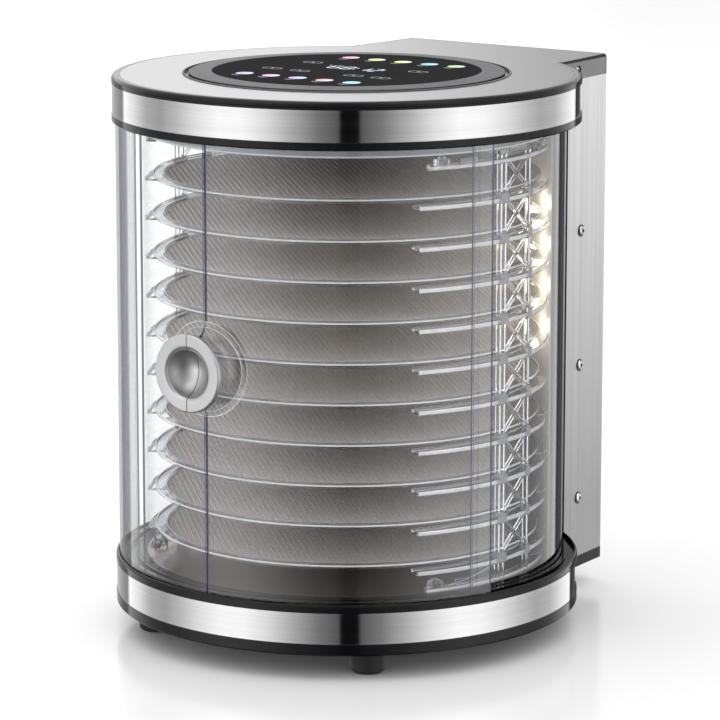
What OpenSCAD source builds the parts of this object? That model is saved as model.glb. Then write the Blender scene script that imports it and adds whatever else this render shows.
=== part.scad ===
// Drum food dehydrator: turning tray rack, two curved sliding doors, rear fan and heater housing.
// Origin: on the drum's axis, on the surface that the feet stand on. +Z up, the doors face -Y. Millimetres.
// Angles round the drum are measured from the front (-Y), positive towards +X.

/* [Drum] */
// Outer radius of the two steel bands
band_r = 165; // [163:0.5:168]
// Outer radius of the sliding doors
door_r = 162.9; // [162.6:0.1:163]
// Outer radius of the fixed side windows
window_r = 154.4; // [154:0.1:154.6]
// Thickness of the clear door and window panels
panel_t = 2.4; // [1.8:0.1:2.6]
// Height of the viewing gap between base and cap
chamber_h = 309.7; // [309:0.1:312]

/* [Base and cap] */
// Height of the feet
foot_h = 17.5; // [12:0.5:24]
// Height of the black skirt under the base band
skirt_h = 8.2; // [6:0.2:10]
// Height of the steel bands
band_h = 21.8; // [20:0.2:24]
// Height of the black lip over the base band and under the cap band
lip_h = 5.6; // [5:0.1:6]
// Height of the black edge over the cap band
edge_h = 5.6; // [5:0.1:6.5]
// Half angle that the steel bands cover
band_angle = 109; // [100:1:112]

/* [Rear housing] */
// Half width of the housing where it meets the drum
housing_front_w = 93; // [90:0.5:95]
// Half width of the housing at its rear face
housing_rear_w = 88; // [86:0.5:90]
// Distance from the drum's axis to the rear face
housing_y = 205; // [200:1:212]

/* [Doors] */
// Angle from the front centre to a door's rear edge
door_span = 73.4; // [72:0.2:75]
// Gap on each side of the meeting line
meeting_gap = 0.3; // [0.2:0.1:0.6]
// Angle where a fixed window starts
window_start = 69.6; // [68:0.2:71]
// Radius of the round grip
grip_r = 27; // [25:0.5:28]
// Distance from the drum's axis to the grip's front face
grip_y = 183.6; // [182:0.2:186]
// Height of the grip's centre
grip_z = 210; // [180:1:240]
// Radius of the dish in the grip
dish_r = 16.5; // [14:0.5:17]
// Depth of the dish in the grip
dish_depth = 13.5; // [11:0.5:14]

/* [Trays] */
// Height of the lowest tray's top
tray_z0 = 73.9; // [73:0.1:75]
// Distance from one tray to the next
tray_pitch = 28.07; // [27.8:0.01:28.1]
// Outer radius of a tray's rim
tray_r = 137; // [136:0.5:137]
// Radius of a tray's mesh
mesh_r = 128.6; // [127:0.1:129]

/* [Control pod] */
// Outer radius of the bezel
bezel_r = 115.6; // [114:0.2:117]
// Radius of the black glass
glass_r = 94.5; // [90:0.5:96]

/* [Hidden] */
$fn = 96;
tray_count = 10;
mesh_t = 0.5;
skirt_z = foot_h + skirt_h;
base_z = skirt_z + band_h + lip_h + 0.4;
groove_z = base_z - 3.2;
deck_z = base_z - 5;
deck_under_z = deck_z - 2.5;
cap_z = base_z + chamber_h;
cap_band_z = cap_z + lip_h;
cap_edge_z = cap_band_z + band_h - 0.2;
cap_top_z = cap_edge_z + edge_h;
rim_r = band_r + 0.4;
wall_in_r = band_r - 5;
band_t = 0.9;
sheet_t = 0.8;
plate_r = 159.3;
plate_z = cap_top_z - sheet_t;
roof_t = 2.5;
cover_t = 2.5;
housing_taper_y = 130;
housing_taper = atan((housing_front_w - housing_rear_w) / (housing_y - housing_taper_y));
shell_front_y = 145;
cap_side_h = 14.5;
shell_top_z = cap_top_z - cap_side_h;
turntable_r = 143.2;
turntable_recess_r = 144;
rack_r = 142.4;
rail_in_r = 129.5;
ring_in_r = 132;
rail_angle = 34;
door_edge_angle = meeting_gap / door_r * 180 / PI;
foot_r = 13;
foot_front = [93, -103.5];
foot_rear = [66, 172];
screw_r = 2;
screw_clear = 0.1;
shaft_r = 3.5;
shaft_clear = 0.06;
fan_z = 208;
fan_r = 52;
fan_y = 162;
fan_shaft_r = 2.5;
inlet = [-55, 78];
inlet_size = [27.6, 19.6];
inlet_wall = 2.6;
socket_depth = 14;
cap_screw_y = 160;
liner_r = 146.8;
liner_angle = 114;
post_angle = 113.8;
led_angle = 139.5;
led_pitch = 29.8;
led_z0 = 208.5;
led_count = 4;
probe_z = 146;

// Points of an arc round (cx, cy), from angle a to angle b in n steps
function arc_points(cx, cy, r, a, b, n = 6) =
    [for (i = [0:n]) [cx + r * cos(a + (b - a) * i / n), cy + r * sin(a + (b - a) * i / n)]];

// Height of tray i, counted from 1 at the bottom
function tray_z(i) = tray_z0 + (i - 1) * tray_pitch;

// Half width of the rear housing at distance y behind the axis
function housing_w(y) = housing_front_w
    + (housing_rear_w - housing_front_w) * (y - housing_taper_y) / (housing_y - housing_taper_y);

// Outline of the rear housing, moved in by inset, with rounded rear corners
module housing_outline(inset, front_y, corner = 4) {
    r = corner - min(inset, corner - 1);
    cx = housing_w(housing_y) - inset - r;
    cy = housing_y - inset - r;
    front_w = housing_w(front_y) - inset;
    polygon(concat([[-front_w, front_y], [front_w, front_y]],
        arc_points(cx, cy, r, 0, 90, 4), arc_points(-cx, cy, r, 90, 180, 4)));
}

// Ring of rectangular section between two radii, two heights and two angles from the front
module arc_block(r_in, r_out, z_low, z_high, a_from, a_to) {
    rotate([0, 0, a_from - 90]) rotate_extrude(angle = a_to - a_from)
        translate([r_in, z_low]) square([r_out - r_in, z_high - z_low]);
}

// Full ring of rectangular section
module ring_block(r_in, r_out, z_low, z_high) {
    rotate_extrude() translate([r_in, z_low]) square([r_out - r_in, z_high - z_low]);
}

// Places its children at an angle from the front and a radius, facing outwards along -Y
module at_angle(a, r) {
    rotate([0, 0, a]) translate([0, -r, 0]) children();
}

// Puts its children at the four foot positions
module at_feet() {
    for (s = [-1, 1]) {
        translate([s * foot_front[0], foot_front[1], 0]) children();
        translate([s * foot_rear[0], foot_rear[1], 0]) children();
    }
}

// ---- base ----

module base_profile() {
    round_r = 2;
    difference() {
        polygon(concat(
            [[10, deck_under_z], [wall_in_r + 1, deck_under_z], [wall_in_r + 1, foot_h]],
            [[rim_r - 1.2, foot_h], [rim_r, foot_h + 1.2], [rim_r, skirt_z]],
            [[band_r - 1, skirt_z], [band_r - 1, skirt_z + band_h], [rim_r, skirt_z + band_h]],
            arc_points(rim_r - round_r, base_z - round_r, round_r, 0, 90, 4),
            [[10, base_z]]));
        translate([9, deck_z]) square([turntable_recess_r - 9, 9]);
        translate([window_r - panel_t - 0.8, groove_z]) square([panel_t + 1.6, 9]);
        translate([door_r - panel_t - 1.7, groove_z]) square([panel_t + 2.5, 9]);
        for (i = [0:1]) translate([turntable_recess_r + 1.8 + i * 2.4, base_z - 0.7]) square([1.2, 9]);
    }
}

module base_tub() color("#1b1b1c") difference() {
    union() {
        rotate_extrude() base_profile();
        difference() {
            union() {
                translate([0, 0, foot_h]) linear_extrude(skirt_h) housing_outline(0, 120);
                translate([0, 0, skirt_z]) linear_extrude(base_z - skirt_z) housing_outline(1, 120);
            }
            translate([0, 0, foot_h - 1]) linear_extrude(base_z - foot_h + 2) housing_outline(4, 100);
            translate([0, 0, foot_h - 1]) cylinder(r = band_r - 1, h = base_z);
        }
        difference() {
            translate([0, 0, deck_under_z]) linear_extrude(4) housing_outline(2, 130);
            translate([0, 0, deck_under_z - 1]) cylinder(r = wall_in_r + 2, h = 9);
            translate([-42, 130, deck_under_z - 1]) cube([84, 60, 9]);
        }
        at_feet() translate([0, 0, foot_h + 2.6]) cylinder(r = 5.5, h = deck_under_z - foot_h - 2.1);
    }
    translate([0, 0, foot_h - 1]) linear_extrude(cover_t + 1.2) housing_outline(4, 130);
    at_feet() translate([0, 0, foot_h]) cylinder(r = screw_r + screw_clear, h = 22);
}

module base_band() color("#c9cacb")
    arc_block(band_r - band_t, band_r, skirt_z, skirt_z + band_h, -band_angle, band_angle);

module base_cover() color("#202021") difference() {
    translate([0, 0, foot_h]) union() {
        cylinder(r = wall_in_r + 0.8, h = cover_t);
        linear_extrude(cover_t) housing_outline(4.2, 131);
    }
    at_feet() translate([0, 0, foot_h - 1]) cylinder(r = screw_r + screw_clear, h = 6);
    for (x = [-48:12:48]) translate([x - 2, 60, foot_h - 1]) cube([4, 46, 6]);
    for (x = [-36:12:36]) translate([x - 2, 168, foot_h - 1]) cube([4, 24, 6]);
}

module feet() color("#141414") at_feet() rotate_extrude() difference() {
    polygon(concat([[0, 0]], arc_points(foot_r - 4, 3, 3, -90, 0, 4), [[foot_r, foot_h], [0, foot_h]]));
    translate([-1, -1]) square([5.5, 7]);
    translate([-1, -1]) square([screw_r + screw_clear + 1, foot_h + 2]);
}

module foot_screws() color("#b8b8b8") at_feet() union() {
    translate([0, 0, 3.2]) cylinder(r = 3.8, h = 2.8);
    translate([0, 0, 5]) cylinder(r = screw_r, h = foot_h + 12);
}

module chamber_floor() color("#aaaaac") union() {
    ring_block(12, turntable_recess_r - 0.3, deck_z, deck_z + 0.8);
    for (a = [0:60:300]) at_angle(a, 70) translate([0, 0, deck_z + 0.5]) cylinder(r = 6, h = 1.2);
}

module turntable_motor() color("#b9bcc0") difference() {
    union() {
        translate([0, 0, 26]) cylinder(r = 25, h = 18);
        translate([0, 0, 43]) cylinder(r = 9.5, h = deck_z - 43.4);
        translate([-34, -5, 42.6]) cube([68, 10, 1.4]);
    }
    translate([0, 0, 32]) cylinder(r = shaft_r + shaft_clear, h = 30);
    for (s = [-1, 1]) translate([s * 30, 0, 40]) cylinder(r = 1.7, h = 8);
}

// ---- rear housing ----

module rear_shell() color("#cfd0d2") difference() {
    translate([0, 0, skirt_z]) linear_extrude(shell_top_z - skirt_z) difference() {
        housing_outline(0, shell_front_y);
        housing_outline(sheet_t, shell_front_y - 1);
    }
    translate([-61, housing_y - 5, 162]) cube([122, 10, 92]);
    translate([inlet[0] - inlet_size[0] / 2 - 0.2, housing_y - 5, inlet[1] - inlet_size[1] / 2 - 0.2])
        cube([inlet_size[0] + 0.4, 10, inlet_size[1] + 0.4]);
    at_housing_screws() cylinder(r = screw_r + screw_clear, h = 12, center = true);
}

// Puts its children at the side screws, with +Z pointing out of the housing
module at_housing_screws() {
    for (s = [-1, 1], z = [70, 170, 270])
        translate([s * housing_w(166), 166, z]) rotate([0, s * 90, s * housing_taper]) children();
}

module rear_vent() color("#1a1a1a") difference() {
    translate([-60.8, housing_y - 3.2, 162.2]) cube([121.6, 3, 91.6]);
    for (i = [0:10]) translate([-54, housing_y - 6, 169.5 + i * 7.4]) cube([108, 9, 3.4]);
}

module housing_screws() color("#9a9a9a") {
    at_housing_screws() union() {
        translate([0, 0, 0.1]) cylinder(r = 3.9, h = 1);
        translate([0, 0, -5]) cylinder(r = screw_r, h = 5.6);
    }
    at_cap_screws() union() {
        translate([0, 0, -1.4]) cylinder(r = 2.9, h = 1);
        translate([0, 0, -7]) cylinder(r = 1.5, h = 6);
    }
}

// Puts its children at the cap's side screws, with +Z pointing out of the cap
module at_cap_screws() {
    for (s = [-1, 1])
        translate([s * housing_w(cap_screw_y), cap_screw_y, cap_top_z - 8]) rotate([0, s * 90, s * housing_taper]) children();
}

// Black post between a window and the housing, on the side s
module post(s) {
    end_angle = 146;
    difference() {
        translate([0, 0, base_z + 0.05]) linear_extrude(cap_z - base_z - 0.1) scale_x(s) {
            intersection() {
                difference() {
                    circle(window_r);
                    circle(window_r - 7.4);
                }
                polygon([[0, 0], 200 * [sin(post_angle), -cos(post_angle)], 200 * [sin(end_angle), -cos(end_angle)]]);
            }
            polygon([[84, 121.5], [92, 121.5], [housing_w(130) - 0.4, 130],
                     [housing_w(shell_front_y) - 0.4, shell_front_y - 0.1],
                     [housing_w(shell_front_y) - 1.6, shell_front_y - 0.1], [housing_w(172) - 1.6, 172],
                     [housing_w(172) - 5, 172], [84, 146]]);
        }
        at_housing_screws() translate([0, 0, -10]) cylinder(r = screw_r + screw_clear, h = 20);
        for (i = [0:led_count - 1]) at_led(s, led_z0 + i * led_pitch) translate([0, 0, -3]) cylinder(r = 3.8, h = 6);
        at_led(s, probe_z) translate([0, 0, -4.2]) cylinder(r = 4.2, h = 6);
    }
}

// Mirrors its children across the YZ plane when s is negative
module scale_x(s) {
    mirror([s < 0 ? 1 : 0, 0, 0]) children();
}

module left_post() color("#161617") post(-1);

module right_post() color("#161617") post(1);

module window(s) {
    z_low = groove_z + 0.1;
    z_high = cap_z + 2.4;
    edge = post_angle - 0.1;
    arc_block(window_r - panel_t, window_r, z_low, z_high, s > 0 ? window_start : -edge, s > 0 ? edge : -window_start);
}

module left_window() color("#dfe6ea", 0.35) window(-1);

module right_window() color("#dfe6ea", 0.35) window(1);

module rear_liner() color("#d5d6d8") difference() {
    arc_block(liner_r - sheet_t, liner_r, base_z + 0.05, cap_z, liner_angle, 360 - liner_angle);
    for (x = [-30, 0, 30], i = [0:14])
        translate([x - 12, 130, fan_z - 63 + i * 9 - 2.2]) cube([24, 30, 4.4]);
    for (s = [-1, 1], i = [0:led_count - 1])
        at_led(s, led_z0 + i * led_pitch) cylinder(r = 3.6, h = 12, center = true);
    at_led(1, probe_z) cylinder(r = 2.1, h = 12, center = true);
}

// Puts its children on the liner at an LED's angle, with +Z pointing into the chamber
module at_led(s, z) {
    at_angle(s * led_angle, liner_r) translate([0, 0, z]) rotate([-90, 0, 0]) children();
}

module led_lenses() color("#fff3cf") for (s = [-1, 1], i = [0:led_count - 1])
    at_led(s, led_z0 + i * led_pitch) rotate_extrude()
        polygon([[0, -1.5], [3.5, -1.5], [3.5, 0.4], [3.1, 1.2], [2.2, 1.8], [0, 2.1]]);

module temperature_probe() color("#e8e8e8") at_led(1, probe_z) union() {
    translate([0, 0, -3]) cylinder(r = 2, h = 5);
    translate([0, 0, -4]) cylinder(r = 4, h = 3.4);
}

module fan_shroud() color("#b4b6b8") difference() {
    translate([-83.9, fan_y - 4, fan_z - 68]) cube([167.8, 1.2, 136]);
    translate([0, fan_y - 9, fan_z]) rotate([-90, 0, 0]) cylinder(r = fan_r + 3, h = 12);
    for (x = [-1, 1], z = [-1, 1])
        translate([x * 74, fan_y - 9, fan_z + z * 60]) rotate([-90, 0, 0]) cylinder(r = screw_r, h = 12);
}

module fan_motor() color("#8c8f93") difference() {
    union() {
        translate([0, fan_y + 20, fan_z]) rotate([-90, 0, 0]) cylinder(r = 21, h = 17);
        translate([0, fan_y + 14.5, fan_z]) rotate([-90, 0, 0]) cylinder(r = 6, h = 6);
        for (s = [-1, 1]) translate([s * 50 - 30, fan_y + 31, fan_z - 5]) cube([60, 1.6, 10]);
        for (s = [-1, 1]) translate([s * 79 - 1, fan_y - 2.8, fan_z - 5]) cube([2, 35.4, 10]);
    }
    translate([0, fan_y + 12, fan_z]) rotate([-90, 0, 0]) cylinder(r = fan_shaft_r + shaft_clear, h = 20);
}

module fan_wheel() color("#c6c9cc") union() {
    blades = 7;
    translate([0, fan_y, fan_z]) rotate([-90, 0, 0]) cylinder(r = 11, h = 13.5);
    translate([0, fan_y + 1, fan_z]) rotate([-90, 0, 0]) cylinder(r = fan_shaft_r, h = 28);
    for (i = [0:blades - 1])
        translate([0, fan_y + 6.5, fan_z]) rotate([0, i * 360 / blades, 0])
            translate([fan_r / 2 + 3, 0, 0]) rotate([38, 0, 0]) cube([fan_r - 10, 1.2, 15], center = true);
}

module heater_frame() color("#d8c9a3") union() {
    for (a = [45, 135]) translate([0, fan_y - 6.6, fan_z]) rotate([0, a, 0])
        cube([124, 1.4, 11], center = true);
    for (a = [45:90:315]) translate([0, fan_y - 6, fan_z]) rotate([0, a, 0])
        translate([57, 0, 0]) rotate([-90, 0, 0]) cylinder(r = 3, h = 2);
}

module heater_coil() color("#7c7468") for (r = [32, 46])
    translate([0, fan_y - 9.4, fan_z]) rotate([-90, 0, 0]) rotate_extrude()
        translate([r, 0]) circle(r = 1.9);

module power_board() color("#2e7d4f") union() {
    translate([-50, 100, 27]) cube([100, 52, 1.6]);
    translate([-42, 106, 28.4]) cube([24, 20, 14]);
    translate([-8, 108, 28.4]) cube([19, 16, 12]);
    translate([26, 116, 28.4]) cylinder(r = 8, h = 15);
    for (x = [-44, 44], y = [103, 148]) translate([x, y, foot_h + 2.5]) cylinder(r = 3, h = 7.5);
}

// Recessed mains socket with two contact pins
module power_inlet() color("#111112") union() {
    hole = [inlet_size[0] - 2 * inlet_wall, inlet_size[1] - 2 * inlet_wall];
    difference() {
        translate([inlet[0] - inlet_size[0] / 2, housing_y - socket_depth - 4, inlet[1] - inlet_size[1] / 2])
            cube([inlet_size[0], socket_depth + 3.8, inlet_size[1]]);
        translate([inlet[0] - hole[0] / 2, housing_y - socket_depth, inlet[1] - hole[1] / 2])
            cube([hole[0], socket_depth + 6, hole[1]]);
    }
    for (x = [-4, 4])
        translate([inlet[0] + x - 1, housing_y - socket_depth - 1, inlet[1] - 2]) cube([2, 8.5, 4]);
}

// ---- cap ----

module cap_profile() {
    round_r = 3.4;
    difference() {
        polygon(concat(
            [[glass_r + 2, plate_z - roof_t], [wall_in_r, plate_z - roof_t], [wall_in_r, cap_z + 4.6]],
            [[door_r + 0.9, cap_z + 4.6], [door_r + 0.9, cap_z], [rim_r - 1, cap_z], [rim_r, cap_z + 1]],
            [[rim_r, cap_band_z], [band_r - 1, cap_band_z], [band_r - 1, cap_edge_z], [rim_r - 0.2, cap_edge_z]],
            [[rim_r - 0.2, cap_edge_z + 1.3], [rim_r - 0.7, cap_edge_z + 1.6], [rim_r, cap_edge_z + 2]],
            arc_points(rim_r - round_r, cap_top_z - round_r, round_r, 0, 90, 6),
            [[glass_r + 2, cap_top_z]]));
        translate([glass_r, plate_z]) square([plate_r + 0.1 - glass_r, 9]);
    }
}

module top_cap() color("#19191a") difference() {
    union() {
        rotate_extrude() cap_profile();
        difference() {
            union() {
                translate([0, 0, shell_top_z]) linear_extrude(cap_side_h - 2) housing_outline(0, 120);
                for (i = [0:3]) translate([0, 0, cap_top_z - 2 + i * 0.5])
                    linear_extrude(0.5) housing_outline(2 * (1 - cos(90 * (i + 0.5) / 4.5)), 120);
                translate([0, 0, cap_z + 0.05]) linear_extrude(shell_top_z - cap_z) housing_outline(1.2, 130);
            }
            translate([0, 0, cap_z - 1]) linear_extrude(plate_z - roof_t - cap_z + 1) housing_outline(4, 110);
            translate([0, 0, cap_z - 1]) cylinder(r = band_r - 1, h = 60);
        }
    }
    translate([0, 0, plate_z]) linear_extrude(9) housing_outline(3.4, 100);
    translate([0, 0, plate_z - roof_t - 1]) cylinder(r = bezel_r - 2.6, h = 9);
    at_cap_screws() union() {
        translate([0, 0, -1.6]) cylinder(r = 3.4, h = 8);
        translate([0, 0, -9]) cylinder(r = 1.6, h = 9);
    }
}

module top_plate() color("#cacbcc") difference() {
    translate([0, 0, plate_z]) linear_extrude(sheet_t) union() {
        circle(r = plate_r);
        housing_outline(3.5, 100);
    }
    translate([0, 0, plate_z - 1]) cylinder(r = bezel_r - 2.6, h = 9);
}

module top_band() color("#cfd0d1")
    arc_block(band_r - band_t, band_r, cap_band_z, cap_edge_z - 0.05, -band_angle, band_angle);

module chamber_ceiling() color("#2a2a2b") rotate_extrude() difference() {
    translate([0, cap_z + 0.2]) square([door_r - panel_t - 1.7, 4]);
    translate([window_r - panel_t - 0.8, cap_z - 1]) square([panel_t + 1.6, 3.5]);
}

module control_bezel() color("#3a3b3d") rotate_extrude()
    polygon([[glass_r + 0.2, plate_z - 7], [bezel_r - 2.8, plate_z - 7], [bezel_r - 2.8, cap_top_z],
             [bezel_r, cap_top_z], [bezel_r - 0.5, cap_top_z + 0.7], [bezel_r - 4.6, cap_top_z + 0.7],
             [bezel_r - 5, cap_top_z + 0.1], [bezel_r - 5.6, cap_top_z + 0.1], [bezel_r - 6.1, cap_top_z + 1],
             [glass_r + 1, cap_top_z + 1.9], [glass_r + 0.2, cap_top_z + 1.6]]);

module control_glass() color("#08090a") translate([0, 0, cap_top_z - 1]) rotate_extrude()
    polygon([[0, 0], [glass_r, 0], [glass_r, 2.4], [glass_r - 0.4, 2.7], [0, 2.7]]);

module control_board() color("#256b45") union() {
    ring_block(12, 86, plate_z - 6, plate_z - 4.4);
    translate([-26, -10, plate_z - 4.6]) cube([52, 20, 3.9]);
    for (a = [30:60:330]) at_angle(a, 80) translate([0, 0, cap_z + 4.3])
        cylinder(r = 3.5, h = plate_z - cap_z - 10);
}

// ---- doors ----

// Section of the clear boss that carries half a grip: radius from the grip's axis, distance from the drum's axis
function boss_profile() = concat([[19.4, 140], [36, 140], [33, 161.5]],
    arc_points(33, 172, 10.5, -90, -170, 5), arc_points(26.4, 176, 4.2, 195, 90, 4), [[19.4, grip_y - 3.4]]);

module grip_spin() {
    translate([0, 0, grip_z]) rotate([90, 0, 0]) rotate_extrude() children();
}

// Keeps the half of its child that lies on the side s of the meeting line
module half_space(s) {
    intersection() {
        children();
        translate([s > 0 ? meeting_gap : -200 - meeting_gap, -220, 0]) cube([200, 220, 420]);
    }
}

module door(s) {
    z_low = groove_z + 0.5;
    z_high = cap_z + 3;
    far = door_span;
    near = door_edge_angle;
    union() {
        arc_block(door_r - panel_t, door_r, z_low, z_high, s > 0 ? near : -far, s > 0 ? far : -near);
        half_space(s) difference() {
            grip_spin() polygon(boss_profile());
            translate([0, 0, grip_z - 60]) cylinder(r = door_r - 1, h = 120);
        }
        for (z = [z_low, z_high - 2.2]) {
            a = s * (far - 2.4);
            arc_block(door_r - panel_t - 0.9, door_r + 0.5, z, z + 2.2, a - 1.8, a + 1.8);
        }
    }
}

// Half of the dished grip cap on the side s
module grip_cap(s) {
    ball_r = (dish_r * dish_r + dish_depth * dish_depth) / (2 * dish_depth);
    ball_y = grip_y - dish_depth + ball_r;
    rim_a = asin(dish_r / ball_r);
    wall = 1.6;
    half_space(s) grip_spin() polygon(concat(
        arc_points(0, ball_y, ball_r + wall, -90, -90 + rim_a, 8),
        [[dish_r + 2, grip_y - 3.2], [grip_r, grip_y - 3.2], [grip_r, grip_y - 1.2]],
        arc_points(grip_r - 1.2, grip_y - 1.2, 1.2, 20, 90, 3),
        arc_points(dish_r + 0.9, grip_y - 0.9, 0.9, 90, 150, 3),
        arc_points(0, ball_y, ball_r, -90 + rim_a - 1.5, -90, 8)));
}

module left_door() color("#dfe6ea", 0.35) door(-1);

module right_door() color("#dfe6ea", 0.35) door(1);

module left_grip_cap() color("#c4c5c7") grip_cap(-1);

module right_grip_cap() color("#c4c5c7") grip_cap(1);

// ---- rack ----

module turntable() color("#8f8a86") union() {
    ring_block(0, turntable_r, deck_z + 2.1, deck_z + 3.6);
    ring_block(turntable_r - 2, turntable_r, deck_z + 2.1, deck_z + 4.8);
}

module drive_shaft() color("#d9d9d9") union() {
    translate([0, 0, 34]) cylinder(r = shaft_r, h = deck_z - 34);
    translate([0, 0, deck_z - 0.1]) cylinder(r = 8.5, h = 2.2);
}

// Clear side frame on the side s: ten tray rails, posts, cross braces and joints
module rack_frame(s) {
    low_z = deck_z + 3.7;
    top_z = cap_z - 8.2;
    post_z = base_z;
    rail_t = 3.6;
    inner_x = tray_r + 0.8;
    scale_x(s) union() {
        for (i = [1:tray_count]) {
            z = tray_z(i) - 4.8;
            arc_block(rail_in_r, rack_r, z - rail_t, z, 90 - rail_angle, 90 + rail_angle);
            for (y = [-18, 16]) translate([inner_x, y, z - rail_t - 0.6]) cube([4.9, 9 - 0.15 * y, 7.6]);
        }
        for (y = [-17, -11.6, 18])
            translate([inner_x + 0.4, y, post_z]) cube([3.8, 2.8, top_z - post_z]);
        for (i = [1:tray_count]) rack_brace(tray_z(i) - 4, inner_x + 1.2);
        rail_foot(low_z, rack_r - 1.7, 62.6);
        rail_foot(top_z - 10, rack_r, 63.8);
        translate([inner_x + 0.3, -17, top_z - 4]) cube([4, 37.8, 4]);
    }
}

// Cross brace over one tray space, in the plane of the posts
module rack_brace(z, x) {
    rise = tray_pitch - 6;
    run = 27;
    length = sqrt(rise * rise + run * run);
    tilt = atan(rise / run);
    for (m = [-1, 1])
        translate([x, 5, z + tray_pitch / 2]) rotate([m * tilt, 0, 0])
            translate([0, -length / 2, -1]) cube([2.2, length, 2]);
}

// Arc that ends a side frame, with a square boss near each end and a rib behind each boss
module rail_foot(z, r_out, boss_angle) {
    arc_block(ring_in_r + 3, r_out, z, z + 3.4, 90 - 31, 90 + 31);
    for (m = [-1, 1]) at_angle(90 + m * (90 - boss_angle), r_out - 4.8) {
        translate([-5, -4.4, z]) cube([10, 8.6, 7.5]);
        translate([-2.2, -3.2, z + 6]) cube([4.4, 5.4, 3]);
    }
    for (m = [-1, 1]) at_angle(90 + m * 18, r_out - 2)
        translate([-8, 0, z]) cube([16, 1.6, 7]);
}

module left_rack_frame() color("#e6eaec", 0.45) rack_frame(-1);

module right_rack_frame() color("#e6eaec", 0.45) rack_frame(1);

module rack_top_ring() color("#d5d8da", 0.5) rotate_extrude()
    polygon([[ring_in_r, cap_z - 8], [rack_r, cap_z - 8], [rack_r, cap_z - 1.6], [rack_r - 2, cap_z - 1.6],
             [rack_r - 2, cap_z - 5.8], [ring_in_r, cap_z - 5.8]]);

// ---- trays ----

module tray_rim(i) color("#e3e6e8", 0.5) translate([0, 0, tray_z(i)]) rotate_extrude()
    polygon([[mesh_r, -4.4], [mesh_r + 2.2, -4.4], [mesh_r + 2.2, -2.4], [tray_r - 0.6, -2.4],
             [tray_r, -1.8], [tray_r, -0.6], [tray_r - 0.6, 0], [mesh_r, 0]]);

module tray_mesh(i) color("#a5a09b") translate([0, 0, tray_z(i) - 2.4]) cylinder(r = mesh_r, h = mesh_t);

base_tub();
base_band();
base_cover();
feet();
foot_screws();
chamber_floor();
turntable_motor();
rear_shell();
rear_vent();
housing_screws();
left_post();
right_post();
left_window();
right_window();
rear_liner();
fan_shroud();
fan_motor();
heater_frame();
heater_coil();
power_board();
power_inlet();
led_lenses();
temperature_probe();
top_cap();
top_plate();
top_band();
chamber_ceiling();
control_bezel();
control_glass();
control_board();
left_door();
left_grip_cap();
right_door();
right_grip_cap();
turntable();
drive_shaft();
left_rack_frame();
right_rack_frame();
rack_top_ring();
fan_wheel();
for (i = [1:tray_count]) tray_rim(i);
for (i = [1:tray_count]) tray_mesh(i);
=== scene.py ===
"""Looks of a round food dehydrator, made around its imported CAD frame.

Metres, +Z up. The drum turns about the Z axis, the doors face -Y and the fan housing is towards +Y.
Angles round the drum are measured from the front, positive towards +X.
"""

import math

import bmesh
import bpy
from mathutils import Matrix, Vector


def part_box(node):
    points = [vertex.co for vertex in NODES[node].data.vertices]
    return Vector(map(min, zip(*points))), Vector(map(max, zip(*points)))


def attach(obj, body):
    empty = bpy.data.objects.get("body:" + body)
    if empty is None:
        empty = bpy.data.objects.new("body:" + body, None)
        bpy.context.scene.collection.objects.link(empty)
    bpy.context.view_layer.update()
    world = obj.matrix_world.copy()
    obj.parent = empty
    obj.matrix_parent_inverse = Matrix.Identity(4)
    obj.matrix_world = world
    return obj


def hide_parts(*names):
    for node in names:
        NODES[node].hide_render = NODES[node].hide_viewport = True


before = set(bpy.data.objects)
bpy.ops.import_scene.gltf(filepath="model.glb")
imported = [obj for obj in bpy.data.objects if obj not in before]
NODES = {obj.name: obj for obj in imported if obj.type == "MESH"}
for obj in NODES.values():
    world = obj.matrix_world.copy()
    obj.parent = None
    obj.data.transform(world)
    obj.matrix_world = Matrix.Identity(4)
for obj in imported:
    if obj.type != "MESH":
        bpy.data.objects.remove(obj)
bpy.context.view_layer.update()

MM = 0.001
TRAYS = range(1, 11)
SIDES = {"left": -1, "right": 1}
CAMERA_AZIMUTH = 36.0
CAMERA_ELEVATION = 11.055
CAMERA_DISTANCE = 2.6937
AIM_HEIGHT = 0.2


def low(node):
    """Lowest corner of a CAD node."""
    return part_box(node)[0]


def high(node):
    """Highest corner of a CAD node."""
    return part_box(node)[1]


DOOR_RADIUS = high("top_band").x - 2.1 * MM
WINDOW_RADIUS = high("right_window").x
PANEL_THICKNESS = 2.4 * MM
RACK_RADIUS = high("right_rack_frame").x
TRAY_RADIUS = high("tray_rim_1").x
GRIP_RADIUS = high("right_grip_cap").x
GRIP_HEIGHT = (high("right_grip_cap").z + low("right_grip_cap").z) / 2
GRIP_FRONT = -low("right_grip_cap").y
MEETING_GAP = low("right_grip_cap").x
HOUSING_TAPER = 1 / 15


# ---- mesh helpers ----


def spot(radius, angle, height):
    """Point at a radius and an angle from the front."""
    a = math.radians(angle)
    return Vector((radius * math.sin(a), -radius * math.cos(a), height))


def arc(x, y, radius, start, end, steps):
    """Points of an arc round (x, y), from one angle to another, in degrees."""
    angles = [math.radians(start + (end - start) * k / steps) for k in range(steps + 1)]
    return [(x + radius * math.cos(a), y + radius * math.sin(a)) for a in angles]


def rounded(points, radius, steps=3):
    """Closed outline with each corner replaced by a short curve."""
    result = []
    for i, here in enumerate(points):
        here = Vector(here)
        before = Vector(points[i - 1]) - here
        after = Vector(points[(i + 1) % len(points)]) - here
        cut = min(radius, 0.45 * before.length, 0.45 * after.length)
        a = here + before.normalized() * cut
        b = here + after.normalized() * cut
        for k in range(steps + 1):
            t = k / steps
            result.append(a * (1 - t) ** 2 + here * 2 * t * (1 - t) + b * t * t)
    return result


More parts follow.
